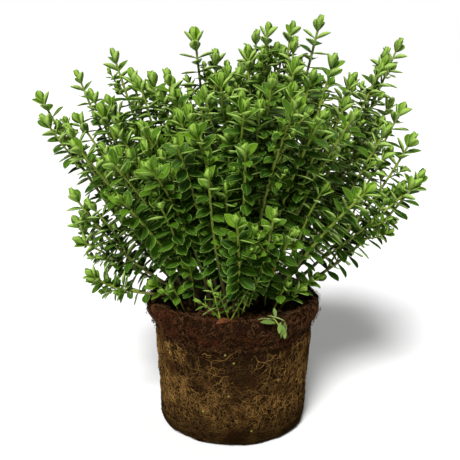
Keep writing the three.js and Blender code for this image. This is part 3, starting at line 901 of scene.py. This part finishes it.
def leaves_object(name, grown, material, slot):
    """One mesh of many blades, with what its material reads. Grown is a list of (points, age, tone)."""
    points, age, tone = (np.concatenate(parts) for parts in zip(*grown))
    count, size = len(points), len(blade_points)
    base = np.arange(count)[:, None, None] * size
    values = {"age": np.repeat(age, size), "tone": np.repeat(tone, size)}
    values |= {"edge": np.tile(blade_edge, count), "rib": np.tile(blade_rib, count)}
    made = mesh_object(name, points, base + blade_quads, base + blade_tips, material, slot, **values)
    layer = made.data.attributes.new("beneath", "FLOAT", "FACE")
    one_leaf = np.append(wall_below, [False, False])
    flags = np.concatenate([np.tile(one_leaf, count), np.tile(tip_below, count)])
    layer.data.foreach_set("value", flags.astype(np.float32))
    return made


def stems_object(name, grown):
    """One mesh of many stems, with the age that their bark reads."""
    parts = [stem_surface(stem) for stem in grown]
    starts = np.cumsum([0] + [len(part[0]) for part in parts[:-1]])
    quads = np.concatenate([part[1] + start for part, start in zip(parts, starts)])
    fans = np.concatenate([part[2] + start for part, start in zip(parts, starts)])
    points, age = (np.concatenate([part[i] for part in parts]) for i in (0, 3))
    return mesh_object(name, points, quads, fans, bark.material, "foliage", age=age)


chance = np.random.default_rng(51)
shoot_ends = [(f"{place}_{n}", end) for place, ends in planting.items() for n, end in enumerate(ends, 1)]
for number, (name, end) in enumerate(shoot_ends):
    shoot = shoot_stem(number, end)
    grown = [shoot, *branch_stems(f"shoot_{name}", shoot)]
    small = [sprig for stem in grown for sprig in sprigs(stem, chance)]
    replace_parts(stems_object(f"stem_{name}", grown + small), f"shoot_{name}")
    leaves = [leaves_of(stem) for stem in grown] + [leaves_of(sprig, -sprig_bud_pairs) for sprig in small]
    leaves_object(f"leaves_{name}", leaves, leaf_green, "foliage")

# ------------------------------------------------------------
# The litter on the root ball, and what sprouts at the foot of the shrub: a dry leaf and two faded ones on
# the collar, a fallen sprig over its edge, brown leaves between the stems, and small live sprigs.
# ------------------------------------------------------------


def loose_leaves(origin, heading, pitch, roll, size, narrow, cup, bend):
    """Leaves that lie free. Heading is the way each points, from +X towards +Y, pitch is how far its tip is
    raised, and roll is its turn about its own length, all in radians. Size is its share of a full leaf."""
    given = (origin, heading, pitch, roll, size, cup, bend)
    origin, heading, pitch, roll, size, cup, bend = (np.atleast_1d(np.asarray(v, float)) for v in given)
    up = np.array([0, 0, 1.0])
    flat = np.stack([np.cos(heading), np.sin(heading), np.zeros(len(heading))], 1)
    out = flat * np.cos(pitch)[:, None] + up * np.sin(pitch)[:, None]
    normal = up * np.cos(pitch)[:, None] - flat * np.sin(pitch)[:, None]
    across, normal = rolled(np.cross(normal, out), normal, roll)
    length, width = leaf_length * size, leaf_width * narrow * size
    start = origin.reshape(-1, 3) - out * length[:, None] / 2
    return blades(start, out, across, normal, length, width, cup, bend)


def middle_of(node_name):
    """The middle of a CAD node's box."""
    low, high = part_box(node_name)
    return np.array((low + high) / 2)


leaf_dry = leaf_finish(
    "leaf_dry",
    young=((0.12, 0.035, 0.014), (0.20, 0.070, 0.030)),
    full=((0.030, 0.014, 0.007), (0.085, 0.040, 0.018)),
    margin=(0.12, 0.060, 0.030),
    below=(0.10, 0.055, 0.030),
)
leaf_faded = leaf_finish(
    "leaf_faded",
    young=((0.42, 0.30, 0.040), (0.55, 0.38, 0.060)),
    full=((0.060, 0.120, 0.020), (0.16, 0.25, 0.050)),
    margin=(0.30, 0.38, 0.12),
    below=(0.16, 0.24, 0.080),
)


def lay_leaf(name, node_name, heading, pitch, roll, age, material, slot):
    """One free leaf in the place of a CAD leaf, three quarters as broad as the plant's own."""
    middle = middle_of(node_name)
    blade = loose_leaves(middle, heading, pitch, roll, size=0.96, narrow=0.75, cup=0.4, bend=0.12)
    laid = leaves_object(name, [(blade, np.full(1, age), np.full(1, 0.5))], material, slot)
    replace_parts(laid, node_name)


lay_leaf("leaf_dry_on_collar", "dropped_leaf_dry", 0.6, 0.12, 0.3, 0.02, leaf_dry, "dry_leaf")
lay_leaf("leaf_faded_on_collar", "dropped_leaf_green", 0.14, 0.05, -0.25, 0.30, leaf_faded, "faded_leaf")
slid = middle_of("dropped_leaf_hanging")
facing = math.atan2(slid[1], slid[0]) + 0.1
lay_leaf("leaf_hanging_on_collar", "dropped_leaf_hanging", facing, -1.35, 0.1, 0.22, leaf_faded, "faded_leaf")

# Brown leaves all over the soil, turned, rolled and curled at random.
chance = np.random.default_rng(61)
litter_count = 60
litter_turn = chance.uniform(0, 1, litter_count)
litter_out = np.sqrt(chance.uniform(0.05, 1, litter_count)) * soil_radius
litter = loose_leaves(
    skin_point(litter_turn, outline_length[-1] - litter_out, 1.6 * mm),
    chance.uniform(0, 2 * np.pi, litter_count),
    chance.uniform(-0.3, 0.7, litter_count),
    chance.uniform(-0.9, 0.9, litter_count),
    size=chance.uniform(0.45, 0.8, litter_count),
    narrow=0.6,
    cup=chance.uniform(0.3, 1.1, litter_count),
    bend=chance.uniform(-0.3, 0.4, litter_count),
)
litter_age = chance.uniform(0.1, 0.5, litter_count)
litter_tone = chance.uniform(0, 1, litter_count)
leaves_object("litter_leaves", [(litter, litter_age, litter_tone)], leaf_dry, "dry_leaf")

thin_foot_radius = 0.7 * mm
narrow_leaf = 0.66


def ground_sprig(number, foot, tip, grain, arch=0.2):
    """A thin sprig from a foot on the compost to its tip, arching up by a share of its length on the way."""
    foot, tip = np.array(foot) * mm, np.array(tip) * mm
    turn = (foot + tip) / 2 + np.array([0, 0, arch * np.linalg.norm(tip - foot)])
    sprig = Stem(number, foot, turn, tip, unit(np.cross([0, 0, 1.0], tip - foot + 0.1 * mm)), grain=grain)
    sprig.foot_radius = thin_foot_radius
    return sprig


# Where each thin sprig stands and ends, in millimetres, its size as a share of a full shoot's and, where it
# is nearly straight, how far it arches.
thin_places = [
    ((-11, -76, 126), (-21, -70, 163), 0.58),
    ((-9, -74, 126), (-33, -72, 147), 0.55),
    ((-3, -70, 126), (18, -70, 165), 0.50, 0.05),
    ((5, -62, 126), (3, -74, 226), 0.62, 0.02),
    ((10, -62, 140), (8, -76, 178), 0.42),
    ((12, -62, 140), (18, -78, 184), 0.42),
    ((14, -62, 138), (28, -74, 176), 0.42),
    ((8, -66, 132), (22, -80, 170), 0.40),
    ((-4, -70, 128), (-14, -80, 156), 0.45),
    ((-52, -40, 126), (-66, -52, 150), 0.70),
]
# Broad-leaved ones that lean out over the collar on both sides and hide the feet of the stems.
foot_places = [
    ((44, -38, 126), (66, -52, 152), 0.86),
    ((38, -44, 126), (50, -64, 160), 0.84),
    ((54, -20, 126), (80, -34, 158), 0.86),
    ((60, 0, 126), (88, -8, 150), 0.84),
    ((-46, -44, 126), (-58, -62, 158), 0.86),
    ((-56, -24, 126), (-78, -40, 154), 0.86),
    ((30, -40, 130), (34, -62, 182), 0.84),
    ((-36, -44, 130), (-40, -66, 180), 0.84),
]
thin_sprigs = [ground_sprig(number, *place) for number, place in enumerate(thin_places, 200)]
foot_sprigs = [ground_sprig(number, *place) for number, place in enumerate(foot_places, 220)]
stems_object("thin_sprig_stems", thin_sprigs + foot_sprigs)
thin_leaves = [leaves_of(sprig, -sprig_bud_pairs, narrow_leaf) for sprig in thin_sprigs]
leaves_object("thin_sprig_leaves", thin_leaves, leaf_green, "foliage")
foot_leaves = [leaves_of(sprig, -sprig_bud_pairs) for sprig in foot_sprigs]
leaves_object("foot_sprig_leaves", foot_leaves, leaf_green, "foliage")

# One yellowed leaf hangs low in front.
hanging = (36 * mm, -64 * mm, 176 * mm)
turning = loose_leaves(hanging, -1.5, -1.45, 0.2, size=0.9, narrow=0.7, cup=0.3, bend=0.1)
leaves_object("leaf_yellow", [(turning, np.zeros(1), np.full(1, 0.5))], leaf_faded, "faded_leaf")

# The fallen sprig: each leaf's middle in millimetres, its heading, how far its tip is raised, and its size.
fallen = np.array(
    [
        (31.0, -85.5, 132.0, 3.3, 0.20, 0.85),
        (38.5, -84.0, 136.0, -0.1, -0.15, 0.95),
        (37.0, -82.0, 140.0, 1.8, 0.90, 0.55),
        (41.0, -88.5, 127.5, -1.9, -1.10, 0.62),
        (44.0, -88.0, 127.0, -0.6, -0.80, 0.60),
        (45.5, -88.0, 122.0, -1.2, -1.35, 0.60),
        (42.5, -89.0, 122.5, -2.3, -1.20, 0.52),
    ]
)
fallen_count = len(fallen)
fallen_leaves = loose_leaves(
    fallen[:, :3] * mm,
    heading=fallen[:, 3],
    pitch=fallen[:, 4],
    roll=np.linspace(-0.5, 0.6, fallen_count),
    size=fallen[:, 5],
    narrow=0.62,
    cup=0.3,
    bend=0.12,
)
fallen_grown = [(fallen_leaves, np.full(fallen_count, 0.26), np.linspace(0.5, 1, fallen_count))]
leaves_object("fallen_sprig_leaves", fallen_grown, leaf_faded, "faded_leaf")
neck, turn, tip = np.array([(33, -80, 136), (40, -88, 134), (45, -88, 119)]) * mm
fallen_sprig = Stem(210, neck, turn, tip, unit(np.array([0.3, 0.9, 0.2])), grain=0.5)
fallen_sprig.foot_radius = thin_foot_radius
stems_object("fallen_sprig_stem", [fallen_sprig])
